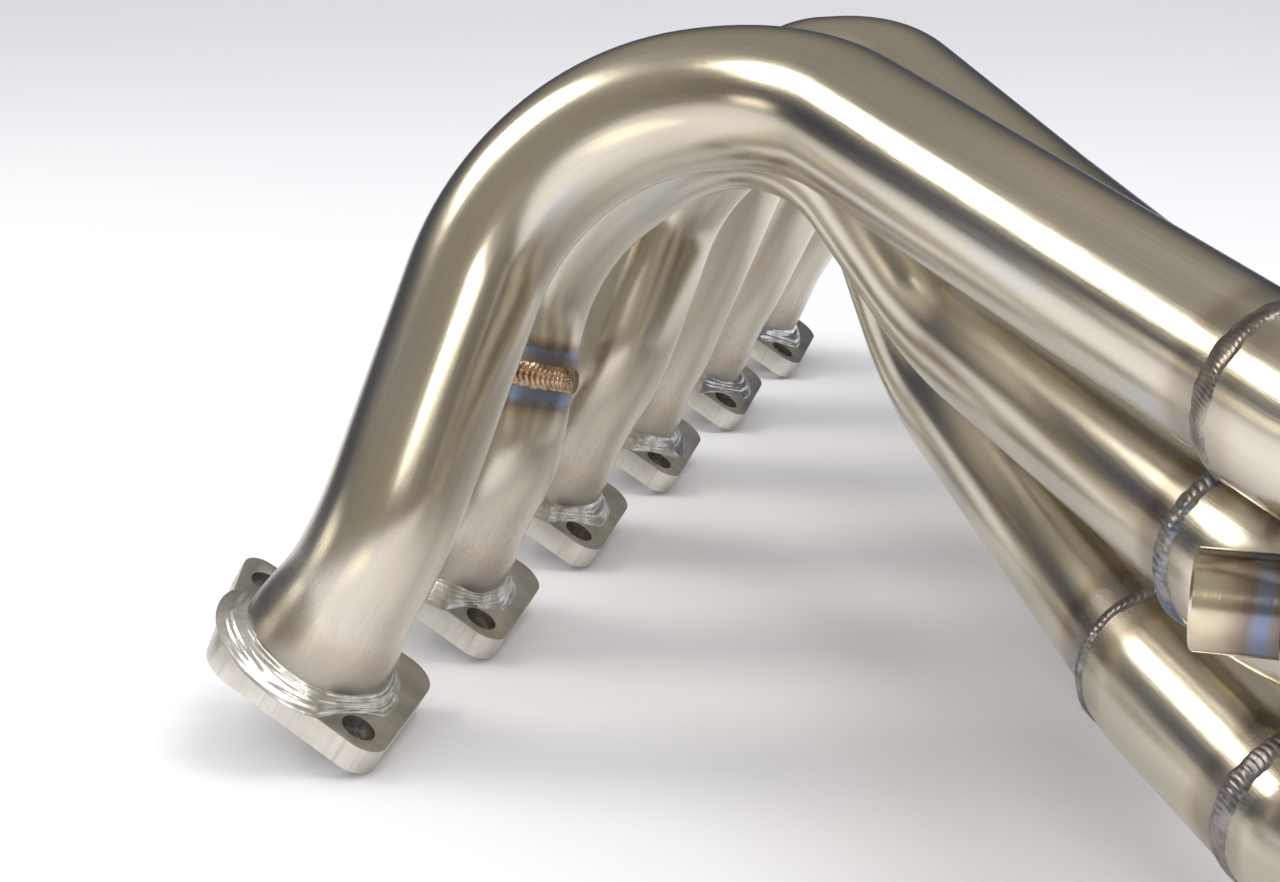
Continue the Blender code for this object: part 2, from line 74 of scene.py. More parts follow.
OUTLET_PIPE_LENGTH = 0.040
OUTLET_FLANGE_THICKNESS = 0.010
OUTLET_BOLT_CIRCLE = 0.0415
OUTLET_LOBE_RADIUS = 0.012
OUTLET_BOLT_RADIUS = 0.0055
BUNG_RADIUS = 0.011
BUNG_BORE = 0.0078
THREAD_PITCH = 0.0015
THREAD_DEPTH = 0.0008
BUNG_CHAMFER = 0.0007
CLUSTERS = {"a": Vector((0.365, -0.130, 0.06025)), "b": Vector((0.365, 0.022, 0.06025))}
BUNG_A_END = Vector((0.2475, -0.085, 0.095))
# Straight foot, bend corners and bend radii of each primary, as in the CAD model.
# The corners of the first four come from a least-squares fit, except that the last
# corner of the fourth was moved. Those of the fifth and sixth are given one by one.
PRIMARIES = (
    (0.050, ((0.053, 0.0476, 0.167), (0.1276, 0.0423, 0.1805), (0.2604, -0.0781, 0.1391)),
     (0.058, 0.068, 0.069)),
    (0.048, ((0.031, 0.111, 0.123), (0.106, 0.110, 0.180), (0.172, 0.057, 0.118),
             (0.254, -0.048, 0.096)), (0.031, 0.066, 0.063, 0.063)),
    (0.060, ((0.049, 0.203, 0.132), (0.108, 0.179, 0.168), (0.154, 0.127, 0.086),
             (0.233, -0.001, 0.050)), (0.050, 0.050, 0.048, 0.065)),
    (0.037, ((0.064, 0.271, 0.154), (0.107, 0.253, 0.159), (0.177, 0.163, 0.131),
             (0.230, 0.088, 0.113)), (0.050, 0.034, 0.060, 0.065)),
    (0.044, ((0.056, 0.372, 0.125), (0.098, 0.350, 0.138), (0.160, 0.250, 0.092),
             (0.234, 0.142, 0.074)), (0.040, 0.042, 0.048, 0.065)),
    (0.062, ((0.062, 0.465, 0.105), (0.097, 0.444, 0.118), (0.152, 0.345, 0.069),
             (0.232, 0.208, 0.045)), (0.045, 0.036, 0.048, 0.065)),
)
THIRD_WELD = Vector((0.271, -0.051, 0.036))

# ---- fineness of the finished surfaces ------------------------------------
TUBE_SIDES = 72
BEND_STEP = math.radians(3.0)
RUN_STEP = 0.008

# Step beads: width, crown, ripple pitch, ripple share, lumps and finish
STEP_BEADS = (
    (0.0074, 0.0008, 0.0011, 0.09, 0.4, "smooth_bead"),
    (0.0080, 0.0016, 0.0017, 0.12, 1.0, "blue_bead"),
    (0.0060, 0.0013, 0.0015, 0.14, 0.5, "dark_bead"),
    (0.0085, 0.0008, 0.0012, 0.10, 0.3, "smooth_bead"),
    (0.0080, 0.0012, 0.0014, 0.12, 0.6, "blue_bead"),
    (0.0070, 0.0012, 0.0014, 0.12, 0.5, "dark_bead"),
)

# Heat colours beside the welds: which end, how strong, and how far they reach
BEAD_HALF = 0.0040
FOOT_HEAT = ("start", 0.42, 0.020)
BUTT_START, BUTT_END = ("start", 1.0, 0.009), ("end", 1.0, 0.009)
STEP_START, STEP_END = ("start", 0.35, 0.006), ("end", 0.55, 0.009)
SOOT_START, SOOT_END = ("start", 0.40, 0.009), ("end", 0.70, 0.016)
BUNG_HEAT = ("end", 1.0, 0.0026)

PORT_AXIS = Vector((math.sin(GASKET_TILT), 0.0, math.cos(GASKET_TILT)))
COLLECTOR_AXIS = Vector((math.cos(COLLECTOR_YAW) * math.cos(COLLECTOR_DROP),
                         math.sin(COLLECTOR_YAW) * math.cos(COLLECTOR_DROP),
                         -math.sin(COLLECTOR_DROP)))


def axis_frame(axis):
    """Two directions square to an axis, the first one level."""
    side = Vector((0, 0, 1)).cross(axis)
    if side.length < 1e-6:
        side = Vector((1, 0, 0))
    side.normalize()
    return side, axis.cross(side).normalized()


COLLECTOR_SIDE, COLLECTOR_UP = axis_frame(COLLECTOR_AXIS)


def port_centre(index):
    return Vector((0.0, PORT_PITCH * index, PORT_LIFT))


# ---- material kit -----------------------------------------------------------
def new_group(name, inputs, outputs):
    """A shader node group with named sockets: (name, kind, default) in, (name, kind) out."""
    group = bpy.data.node_groups.new(name, "ShaderNodeTree")
    for label, kind, default in inputs:
        socket = group.interface.new_socket(label, in_out="INPUT", socket_type="NodeSocket" + kind)
        if default is not None:
            socket.default_value = default
    for label, kind in outputs:
        group.interface.new_socket(label, in_out="OUTPUT", socket_type="NodeSocket" + kind)
    return group, Wiring(group)


class Wiring:
    """Short calls for adding and joining shader nodes in one tree."""

    def __init__(self, tree):
        self.tree = tree

    def add(self, kind, links=None, **settings):
        node = self.tree.nodes.new("ShaderNode" + kind if not kind.startswith("Node") else kind)
        for key, value in settings.items():
            setattr(node, key, value)
        for socket, value in (links or {}).items():
            if hasattr(value, "is_output"):
                self.tree.links.new(value, node.inputs[socket])
            else:
                node.inputs[socket].default_value = value
        return node

    def math(self, operation, a, b=0.0, clamp=False):
        return self.add("Math", {0: a, 1: b}, operation=operation, use_clamp=clamp).outputs[0]

    def vector(self, operation, a, b=(0.0, 0.0, 0.0)):
        return self.add("VectorMath", {0: a, 1: b}, operation=operation).outputs[0]

    def scaled(self, vector, factors):
        return self.vector("MULTIPLY", vector, factors)

    def noise(self, vector, scale, detail=2.0, roughness=0.5):
        node = self.add("TexNoise", {"Vector": vector, "Scale": scale, "Detail": detail,
                                     "Roughness": roughness})
        return node.outputs["Fac"]

    def spread(self, value, low, high, to_low=0.0, to_high=1.0, smooth=True):
        node = self.add("MapRange", {"Value": value, "From Min": low, "From Max": high,
                                     "To Min": to_low, "To Max": to_high})
        node.interpolation_type = "SMOOTHSTEP" if smooth else "LINEAR"
        return node.outputs["Result"]

    def mix(self, factor, a, b, blend="MIX"):
        node = self.add("Mix", data_type="RGBA", blend_type=blend)
        for index, value in ((0, factor), (6, a), (7, b)):
            if hasattr(value, "is_output"):
                self.tree.links.new(value, node.inputs[index])
            else:
                node.inputs[index].default_value = value
        return node.outputs[2]

    def ramp(self, value, stops, easing="LINEAR"):
        node = self.add("ValToRGB", {"Fac": value})
        ramp = node.color_ramp
        ramp.interpolation = easing
        while len(ramp.elements) < len(stops):
            ramp.elements.new(0.5)
        for element, (position, colour) in zip(ramp.elements, stops):
            element.position = position
            element.color = (*colour, 1.0)
        return node.outputs["Color"]

    def attribute(self, name, output="Vector"):
        return self.add("Attribute", attribute_name=name).outputs[output]

    def group(self, tree, links):
        node = self.add("Group")
        node.node_tree = tree
        for socket, value in links.items():
            if hasattr(value, "is_output"):
                self.tree.links.new(value, node.inputs[socket])
            else:
                node.inputs[socket].default_value = value
        return node.outputs

    def bump(self, height, strength, distance):
        node = self.add("Bump", {"Height": height, "Strength": strength, "Distance": distance})
        return node.outputs["Normal"]


def brushed_group():
    """Grain of drawn and belt-sanded tube: long streaks, cross scratches and fine grit."""
    group, w = new_group(
        "brushed_grain",
        (("Straight", "Vector", None), ("Cross", "Float", 0.3), ("Base Roughness", "Float", 0.24)),
        (("Roughness", "Float"), ("Height", "Float"), ("Streak", "Float")))
    src = w.add("NodeGroupInput").outputs
    streaks = w.noise(w.scaled(src["Straight"], (14.0, 900.0, 900.0)), 1.0, 3.0)
    fine = w.noise(w.scaled(src["Straight"], (60.0, 3600.0, 3600.0)), 1.0, 2.0)
    cross = w.noise(w.scaled(src["Straight"], (5200.0, 160.0, 160.0)), 1.0, 2.0)
    grit = w.noise(src["Straight"], 2600.0, 2.0)
    lines = w.math("ADD", w.math("MULTIPLY", streaks, 0.5), w.math("MULTIPLY", fine, 0.5))
    height = w.math("ADD", lines, w.math("MULTIPLY", cross, src["Cross"]))
    height = w.math("ADD", height, w.math("MULTIPLY", grit, 0.35))
    patches = w.noise(w.scaled(src["Straight"], (18.0, 30.0, 30.0)), 1.0, 3.0)
    patchy = w.math("MULTIPLY", w.math("SUBTRACT", patches, 0.5), 0.10)
    rough = w.math("ADD", src["Base Roughness"], patchy)
    rough = w.math("ADD", rough, w.math("MULTIPLY", w.math("SUBTRACT", fine, 0.5), 0.12))
    out = w.add("NodeGroupOutput")
    group.links.new(rough, out.inputs["Roughness"])
    group.links.new(height, out.inputs["Height"])
    group.links.new(streaks, out.inputs["Streak"])
    return group


def heat_tint_group():
    """Oxide colours beside a weld, by the distance from it."""
    group, w = new_group(
        "heat_tint",
        (("Share", "Float", 1.0), ("Straight", "Vector", None),
         ("Base", "Color", (0.7, 0.66, 0.58, 1.0)), ("Amount", "Float", 1.0)),
        (("Colour", "Color"), ("Burnt", "Float")))
    src = w.add("NodeGroupInput").outputs
    wander = w.noise(w.scaled(src["Straight"], (60.0, 60.0, 60.0)), 1.0, 3.0)
    wobble = w.math("MULTIPLY", w.math("SUBTRACT", wander, 0.5), 0.35)
    share = w.math("ADD", src["Share"], wobble, clamp=True)
    oxide = w.ramp(share, (
        (0.00, (0.20, 0.16, 0.13)), (0.10, (0.24, 0.22, 0.22)), (0.18, (0.21, 0.27, 0.40)),
        (0.28, (0.24, 0.27, 0.36)), (0.38, (0.27, 0.22, 0.20)), (0.55, (0.44, 0.36, 0.28)),
        (0.75, (0.62, 0.53, 0.41)), (1.00, (0.72, 0.65, 0.53))))
    soot = w.ramp(share, (
        (0.00, (0.09, 0.075, 0.065)), (0.25, (0.20, 0.16, 0.12)), (0.55, (0.40, 0.31, 0.21)),
        (1.00, (0.64, 0.55, 0.42))))
    oxide = w.mix(w.spread(src["Amount"], 0.55, 0.95), soot, oxide)
    fade = w.spread(share, 0.45, 1.0, 1.0, 0.0)
    fade = w.math("MULTIPLY", fade, src["Amount"])
    colour = w.mix(fade, src["Base"], oxide)
    burnt = w.math("MULTIPLY", w.spread(share, 0.0, 0.45, 1.0, 0.0), src["Amount"])
    out = w.add("NodeGroupOutput")
    group.links.new(colour, out.inputs["Colour"])
    group.links.new(burnt, out.inputs["Burnt"])
    return group


def new_material(name, **shader_values):
    """A Principled material with its fixed values set on the shader's own sockets."""
    material = bpy.data.materials.new(name)
    material.use_nodes = True
    tree = material.node_tree
    shader = tree.nodes["Principled BSDF"]
    for socket, value in shader_values.items():
        shader.inputs[socket.replace("_", " ")].default_value = value
    return material, Wiring(tree), shader


def tube_material():
    """Satin stainless tube with warm patches and oxide colours at its welds."""
    material, w, shader = new_material("satin_tube", Metallic=1.0)
    straight = w.attribute("straight")
    share = w.attribute("from_weld", "Fac")
    strength = w.attribute("weld_heat", "Fac")
    foot = w.attribute("from_foot", "Fac")
    near_foot = w.spread(foot, 0.012, 0.060, 1.0, 0.0)
    cross = w.math("ADD", 0.25, w.math("MULTIPLY", near_foot, 0.35))
    base_rough = w.math("ADD", 0.21, w.math("MULTIPLY", near_foot, 0.07))
    grain = w.group(brushed_group(), {"Straight": straight, "Cross": cross, "Base Roughness": base_rough})
    slow = w.noise(w.scaled(straight, (9.0, 22.0, 22.0)), 1.0, 2.0)
    second = w.noise(w.scaled(straight, (16.0, 60.0, 60.0)), 1.0, 2.0)
    champagne = w.mix(w.spread(slow, 0.35, 0.68), (0.58, 0.53, 0.43, 1.0), (0.68, 0.64, 0.54, 1.0))
    bluish = w.mix(w.spread(second, 0.58, 0.75, 0.0, 0.5), champagne, (0.60, 0.63, 0.69, 1.0))
    peach = w.mix(w.spread(second, 0.24, 0.40, 0.45, 0.0), bluish, (0.78, 0.64, 0.51, 1.0))
    pale = w.mix(w.math("MULTIPLY", near_foot, 0.45), peach, (0.66, 0.62, 0.58, 1.0))
    streaked = w.mix(w.spread(grain["Streak"], 0.35, 0.75, 0.0, 0.22), pale, (0.50, 0.46, 0.41, 1.0))
    tint = w.group(heat_tint_group(), {"Share": share, "Straight": straight, "Base": streaked,
                                       "Amount": strength})
    rough = w.math("ADD", grain["Roughness"], w.math("MULTIPLY", tint["Burnt"], 0.16))
    material.node_tree.links.new(tint["Colour"], shader.inputs["Base Color"])
    material.node_tree.links.new(rough, shader.inputs["Roughness"])
    normal = w.bump(grain["Height"], 0.35, 0.00006)
    material.node_tree.links.new(normal, shader.inputs["Normal"])
    return material


def bead_material(name, dark, mid, bright, roughness=0.34):
    """Weld metal: oxide colours that wander along the bead, darker in the ripples."""
    material, w, shader = new_material(name, Metallic=1.0)
    place = w.add("TexCoord").outputs["Object"]
    ripple = w.attribute("ripple", "Fac")
    wander = w.noise(place, 180.0, 3.0)
    speck = w.noise(place, 1400.0, 2.0)
    colour = w.mix(w.spread(wander, 0.35, 0.66), (*dark, 1.0), (*mid, 1.0))
    colour = w.mix(w.spread(speck, 0.58, 0.78, 0.0, 0.7), colour, (*bright, 1.0))
    colour = w.mix(w.spread(ripple, 0.0, 0.4, 0.35, 0.0), colour, (0.12, 0.11, 0.10, 1.0))
    rough = w.math("ADD", roughness - 0.08, w.math("MULTIPLY", speck, 0.18))
    material.node_tree.links.new(colour, shader.inputs["Base Color"])
    material.node_tree.links.new(rough, shader.inputs["Roughness"])
    material.node_tree.links.new(w.bump(speck, 0.3, 0.0001), shader.inputs["Normal"])
    return material


def fillet_material():
    """Bright filler metal round the tube feet, with dull soot in its folds."""
    material, w, shader = new_material("bright_fillet", Metallic=1.0)
    place = w.add("TexCoord").outputs["Object"]
    blotch = w.noise(place, 240.0, 4.0)
    fine = w.noise(place, 1700.0, 2.0)
    colour = w.mix(w.spread(blotch, 0.36, 0.62), (0.60, 0.59, 0.56, 1.0), (0.88, 0.87, 0.85, 1.0))
    rough = w.spread(blotch, 0.30, 0.70, 0.40, 0.24)
    material.node_tree.links.new(colour, shader.inputs["Base Color"])
    material.node_tree.links.new(rough, shader.inputs["Roughness"])
    height = w.math("ADD", blotch, w.math("MULTIPLY", fine, 0.25))
    material.node_tree.links.new(w.bump(height, 0.4, 0.0003), shader.inputs["Normal"])
    return material


def plate_material(name, colour_low, colour_high, roughness, scale):
    """Cut and ground plate steel; scale sets the direction of the marks."""
    material, w, shader = new_material(name, Metallic=1.0)
    place = w.add("TexCoord").outputs["Object"]
    turned = w.add("Mapping", {"Vector": place, "Rotation": (0.0, -GASKET_TILT, 0.0)}).outputs[0]
    marks = w.noise(w.scaled(turned, scale), 1.0, 3.0)
    blotch = w.noise(place, 90.0, 4.0)
    pits = w.noise(place, 1300.0, 2.0)
    colour = w.mix(w.spread(blotch, 0.35, 0.66), (*colour_low, 1.0), (*colour_high, 1.0))
    colour = w.mix(w.spread(marks, 0.50, 0.80, 0.0, 0.4), colour, (0.34, 0.33, 0.31, 1.0))
    rough = w.math("ADD", roughness - 0.08, w.math("MULTIPLY", marks, 0.16))
    material.node_tree.links.new(colour, shader.inputs["Base Color"])
    material.node_tree.links.new(rough, shader.inputs["Roughness"])
    height = w.math("ADD", w.math("MULTIPLY", marks, 0.7), w.math("MULTIPLY", pits, 0.4))
    material.node_tree.links.new(w.bump(height, 0.45, 0.00012), shader.inputs["Normal"])
    return material


def rust_material():
    """Bore of a stud hole: dark drilled steel with a thin brown film."""
    material, w, shader = new_material("rusty_hole")
    place = w.add("TexCoord").outputs["Object"]
    film = w.noise(place, 420.0, 4.0)
    rust = w.spread(film, 0.38, 0.62)
    colour = w.mix(rust, (0.26, 0.25, 0.24, 1.0), (0.17, 0.13, 0.10, 1.0))
    metal = w.spread(film, 0.38, 0.62, 0.9, 0.7)
    rough = w.spread(film, 0.38, 0.62, 0.35, 0.75)
    material.node_tree.links.new(colour, shader.inputs["Base Color"])
    material.node_tree.links.new(metal, shader.inputs["Metallic"])
    material.node_tree.links.new(rough, shader.inputs["Roughness"])
    material.node_tree.links.new(w.bump(film, 0.4, 0.0002), shader.inputs["Normal"])
    return material


def boss_material():
    """Turned boss: tool marks round it, straw tint that turns violet and blue at its weld."""
    material, w, shader = new_material("turned_boss", Metallic=1.0)
    straight = w.attribute("straight")
    share = w.attribute("from_weld", "Fac")
    turned = w.noise(w.scaled(straight, (5200.0, 40.0, 40.0)), 1.0, 2.0)
    blotch = w.noise(straight, 160.0, 3.0)
    base = w.mix(w.spread(blotch, 0.35, 0.65), (0.72, 0.62, 0.44, 1.0), (0.78, 0.72, 0.58, 1.0))
    tint = w.group(heat_tint_group(), {"Share": share, "Straight": straight, "Base": base})
    material.node_tree.links.new(tint["Colour"], shader.inputs["Base Color"])
    rough = w.math("ADD", 0.14, w.math("MULTIPLY", turned, 0.16))
    material.node_tree.links.new(rough, shader.inputs["Roughness"])
    material.node_tree.links.new(w.bump(turned, 0.25, 0.00008), shader.inputs["Normal"])
    return material


MATERIALS = {
    "tube": tube_material(),
    "bronze_bead": bead_material("bronze_bead", (0.30, 0.21, 0.15), (0.62, 0.44, 0.30),
                                 (0.85, 0.72, 0.56), 0.28),
    "smooth_bead": bead_material("smooth_bead", (0.20, 0.18, 0.17), (0.38, 0.34, 0.29),
                                 (0.52, 0.46, 0.38), 0.34),
    "dark_bead": bead_material("dark_bead", (0.17, 0.16, 0.17), (0.36, 0.33, 0.32), (0.55, 0.52, 0.50)),
    "blue_bead": bead_material("blue_bead", (0.16, 0.19, 0.26), (0.34, 0.31, 0.28),
                               (0.56, 0.51, 0.45), 0.38),
    "fillet": fillet_material(),
    "plate_face": plate_material("ground_plate_face", (0.50, 0.49, 0.46), (0.62, 0.61, 0.58), 0.42,
                                 (160.0, 900.0, 160.0)),
    "plate_edge": plate_material("cut_plate_edge", (0.66, 0.63, 0.57), (0.76, 0.73, 0.67), 0.40,
                                 (1500.0, 1500.0, 60.0)),
    "hole": rust_material(),
    "boss": boss_material(),
}


# ---- modelling kit ----------------------------------------------------------
def deselect():
    bpy.ops.object.select_all(action="DESELECT")


def apply_modifier(piece, kind, **settings):
    modifier = piece.modifiers.new(kind.lower(), kind)
    for key, value in settings.items():
        setattr(modifier, key, value)
    bpy.context.view_layer.objects.active = piece
    bpy.ops.object.modifier_apply(modifier=modifier.name)


def settle(piece, matrix=None):
    """Bring the piece's place into its mesh, moved with the whole part's origin."""
    whole = Matrix.Translation(ORIGIN_SHIFT) @ (matrix or Matrix.Identity(4)) @ piece.matrix_world
    piece.data.transform(whole)
    piece.matrix_world = Matrix.Identity(4)


def smooth(piece, degrees=38.0):
    deselect()
    piece.select_set(True)
    bpy.context.view_layer.objects.active = piece
    bpy.ops.object.shade_smooth_by_angle(angle=math.radians(degrees))


def hand_over(piece, name, slot, nodes, *materials):
    """Name the piece, give it its materials and tie it to the frame."""
    piece.name = name
    piece.data.name = name
    for material in materials:
        piece.data.materials.append(MATERIALS[material])
    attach(piece, "root")
    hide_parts(*nodes)
    return piece


def route(corners, bends):
    """A bent centre line as steps: straight runs and round bends."""
    steps = []
    here = corners[0]
    for i, radius in enumerate(bends, start=1):
        before = (corners[i] - corners[i - 1]).normalized()
        after = (corners[i + 1] - corners[i]).normalized()
        turn = before.angle(after)
        start = corners[i] - before * radius * math.tan(turn / 2)
        axis = before.cross(after).normalized()
        centre = start + axis.cross(before) * radius
        steps.append(("run", here, before, (start - here).length))
        steps.append(("bend", centre, axis, turn, start, before))
        here = centre + Matrix.Rotation(turn, 3, axis) @ (start - centre)
    last = (corners[-1] - corners[-2]).normalized()
    steps.append(("run", here, last, (corners[-1] - here).length))
    return steps


def end_of(steps):
    """The last point of a route and the direction there."""
    _, start, axis, length = steps[-1]
    return start + axis * length, axis


def trimmed(steps, at_start, at_end):
    """The route with its first and last run cut back."""
    steps = list(steps)
    kind, start, axis, length = steps[0]
    steps[0] = (kind, start + axis * at_start, axis, length - at_start)
    kind, start, axis, length = steps[-1]
    steps[-1] = (kind, start, axis, length - at_end)
    return steps


def stations(steps):
    """Points, tangents and distances close together along a route."""
    points, tangents = [], []
    for step in steps:
        if step[0] == "run":
            _, start, axis, length = step
            count = max(1, math.ceil(length / RUN_STEP))
            for k in range(count + 1):
                points.append(start + axis * (length * k / count))
                tangents.append(axis)
        else:
            _, centre, axis, turn, start, before = step
            count = max(1, math.ceil(turn / BEND_STEP))
            for k in range(1, count):
                spin = Matrix.Rotation(turn * k / count, 3, axis)
                points.append(centre + spin @ (start - centre))
                tangents.append(spin @ before)
    distances = [0.0]
    for a, b in zip(points, points[1:]):
        distances.append(distances[-1] + (b - a).length)
    return points, tangents, distances


def mark(piece, steps, welds, foot=False):
    """Give each point its place on the tube before it was bent, and its distance from the welds."""
    points, tangents, distances = stations(steps)
    sides, ups = [], []
    side, up = axis_frame(tangents[0])
    for i, tangent in enumerate(tangents):
        if i:
            side = (tangents[i - 1].rotation_difference(tangent) @ side).normalized()
            up = tangent.cross(side).normalized()
        sides.append(side)
        ups.append(up)
    count = len(piece.data.vertices)
    co = np.zeros(count * 3)
    piece.data.vertices.foreach_get("co", co)
    co = co.reshape(-1, 3)
    line = np.array(points)
    nearest = np.array([np.argmin(((line - c) ** 2).sum(1)) for c in co])
    offset = co - line[nearest]
    along = np.array(distances)[nearest] + (offset * np.array(tangents)[nearest]).sum(1)
    across = (offset * np.array(sides)[nearest]).sum(1)
    above = (offset * np.array(ups)[nearest]).sum(1)
    straight = np.stack((along, across, above), 1)
    mesh = piece.data
    layer = mesh.attributes.new("straight", "FLOAT_VECTOR", "POINT")
    layer.data.foreach_set("vector", straight.astype(np.float32).ravel())
    share = np.full(count, 1.0)
    heat = np.zeros(count)
    for where, strength, reach in welds:
        distance = along if where == "start" else distances[-1] - along
        here = np.clip((distance - BEAD_HALF) / reach, 0.0, 1.0)
        closer = here < share
        share[closer] = here[closer]
        heat[closer] = strength
    for label, values in (("from_weld", share), ("weld_heat", heat)):
        layer = mesh.attributes.new(label, "FLOAT", "POINT")
        layer.data.foreach_set("value", values.astype(np.float32))
    from_foot = along if foot else np.full(count, 1.0)
    layer = mesh.attributes.new("from_foot", "FLOAT", "POINT")
    layer.data.foreach_set("value", from_foot.astype(np.float32))


def open_ring(centre, axis, radius, sides=TUBE_SIDES):
    """A ring of points square to an axis, in edit mode and selected."""
    deselect()
    bpy.ops.mesh.primitive_circle_add(vertices=sides, radius=radius, location=centre,
                                      rotation=axis.to_track_quat("Z", "Y").to_euler())
    bpy.ops.object.transform_apply(location=True, rotation=True, scale=True)
    bpy.ops.object.mode_set(mode="EDIT")
    bpy.ops.mesh.select_all(action="SELECT")
    return bpy.context.object


def draw_run(start, axis, length, radius_at=None, done=0.0):
    """Extrude the selected ring along a straight run, easing its radius if it is given."""
    count = max(1, math.ceil(length / (RUN_STEP / 2 if radius_at else RUN_STEP)))
    for k in range(count):
        bpy.ops.mesh.extrude_region_move(TRANSFORM_OT_translate={"value": axis * (length / count)})
        if radius_at:
            before, after = (radius_at(done + length * (k + i) / count) for i in (0, 1))
            if abs(after - before) > 1e-7:
                here = start + axis * (length * (k + 1) / count)
                bpy.ops.transform.resize(value=(after / before,) * 3, center_override=here)


def foot_radius(last):
    """Radius of a primary by the distance from its foot, for a flare that ends at last."""
    def radius_at(distance):
        t = min(max((distance - FLARE_START) / (last - FLARE_START), 0.0), 1.0)
        return FOOT_RADIUS + (PRIMARY_RADIUS - FOOT_RADIUS) * t * t * (3 - 2 * t)
    return radius_at


def bent_tube(name, steps, radius, nodes, welds, foot=False):
    """A hollow tube drawn along a route, marked for its finish."""
    flare = foot_radius(min(FLARE_END, steps[0][3])) if foot else None
    piece = open_ring(steps[0][1], steps[0][2], flare(0.0) if foot else radius)
    for i, step in enumerate(steps):
        if step[0] == "run":
            draw_run(step[1], step[2], step[3], flare if i == 0 else None)
        else:
            _, centre, axis, turn, _, _ = step
            bpy.ops.mesh.spin(steps=max(1, math.ceil(turn / BEND_STEP)), angle=turn,
                              center=centre, axis=-axis)
    bpy.ops.mesh.select_all(action="SELECT")
    bpy.ops.mesh.remove_doubles(threshold=0.00001)
    bpy.ops.mesh.normals_make_consistent(inside=False)
    bpy.ops.object.mode_set(mode="OBJECT")
    apply_modifier(piece, "SOLIDIFY", thickness=WALL, offset=-1.0)
    mark(piece, steps, welds, foot)
    smooth(piece)
    settle(piece)
    return hand_over(piece, name, "tube_steel", nodes, "tube")


def wrapped_grid(around, across):
    """A flat grid whose points are then laid round a joint; returns it with its (u, v) shares."""
    deselect()
    bpy.ops.mesh.primitive_grid_add(x_subdivisions=around, y_subdivisions=across, size=1.0)
    piece = bpy.context.object
    count = len(piece.data.vertices)
    co = np.zeros(count * 3)
    piece.data.vertices.foreach_get("co", co)
    co = co.reshape(-1, 3)
    return piece, co[:, 0] + 0.5, co[:, 1] + 0.5


def close_wrap(piece, places, thickness):
    """Lay the grid's points at their places, sew its seam and give it a body."""
    piece.data.vertices.foreach_set("co", places.astype(np.float32).ravel())
    piece.data.update()
    bpy.context.view_layer.objects.active = piece
    piece.select_set(True)
    bpy.ops.object.mode_set(mode="EDIT")
    bpy.ops.mesh.select_all(action="SELECT")
    bpy.ops.mesh.remove_doubles(threshold=0.000005)
    bpy.ops.mesh.normals_make_consistent(inside=False)
    bpy.ops.object.mode_set(mode="OBJECT")
    apply_modifier(piece, "SOLIDIFY", thickness=thickness, offset=-1.0)


def bead(name, path, axis, width, crown, pitch, nodes, material, step=0.0, seed=0.0, ripple=0.12,
         lumps=0.4, sag=0.0008):
    """A weld bead along a closed path: path(share) gives a point and its outward direction.

    The ripples are crescents that lean with the torch; step lifts the far side
    where the bead climbs from a thinner tube onto a thicker one."""
    samples = [path(k / 400.0) for k in range(400)]
    length = sum((samples[k][0] - samples[k - 1][0]).length for k in range(400))
    around = max(90, int(length / (pitch / 7.0)))
    piece, u, v = wrapped_grid(around, 14)
    places = np.zeros((len(u), 3))
    ripples = np.zeros(len(u))
    waves = round(length / pitch)
    for i, (share, over) in enumerate(zip(u, v)):
        share = share % 1.0
        point, outward = path(share)
        cross = 2.0 * over - 1.0
        wander = noise.noise(point * 90.0 + Vector((seed, 0.0, 0.0)))
        edge = noise.noise(point * 420.0 + Vector((0.0, seed, 0.0)))
        phase = share * waves + sag / pitch * (1.0 - cross * cross) + 0.25 * wander
        tooth = phase - math.floor(phase)
        crest = tooth ** 0.6 * (1.0 - tooth) * 2.4
        hump = (1.0 - cross * cross) ** 0.6
        blob = noise.noise(point * 210.0 + Vector((seed, seed, over * 1.5)))
        height = crown * hump * (1.0 - ripple + ripple * 2.0 * crest + 0.2 * wander + 0.7 * lumps * blob)
        height += step * (3 * over ** 2 - 2 * over ** 3) - 0.00012
        sweep = cross * width / 2 * (1.0 + 0.14 * edge) + 0.0004 * wander
        places[i] = point + outward * height + axis * sweep
        ripples[i] = crest
    shade = piece.data.attributes.new("ripple", "FLOAT", "POINT")
    shade.data.foreach_set("value", ripples.astype(np.float32))
    close_wrap(piece, places, 0.0009)
    smooth(piece, 60.0)
    settle(piece)
    return hand_over(piece, name, "weld_steel", nodes, material)


def ring_path(centre, axis, radius):
    """A circle round an axis as a bead's path."""
    side, up = axis_frame(axis)

    def path(share):
        angle = 2.0 * math.pi * share
        outward = side * math.cos(angle) + up * math.sin(angle)
        return centre + outward * radius, outward
    return path


# ---- port flanges and their fillets -------------------------------------------
def rounded_outline(corners, steps=10):
    """Polygon corners (x, y, radius) with each corner rounded by an arc."""
    outline = []
    count = len(corners)
    for i, (x, y, radius) in enumerate(corners):
        here = Vector((x, y))
        to_last = (Vector(corners[i - 1][:2]) - here).normalized()
        to_next = (Vector(corners[(i + 1) % count][:2]) - here).normalized()
        half = to_last.angle(to_next) / 2
        centre = here + (to_last + to_next).normalized() * (radius / math.sin(half))
        start = here + to_last * (radius / math.tan(half)) - centre
        turn = start.angle_signed(here + to_next * (radius / math.tan(half)) - centre)
        for k in range(steps + 1):
            outline.append(centre + Matrix.Rotation(-turn * k / steps, 2) @ start)
    return outline


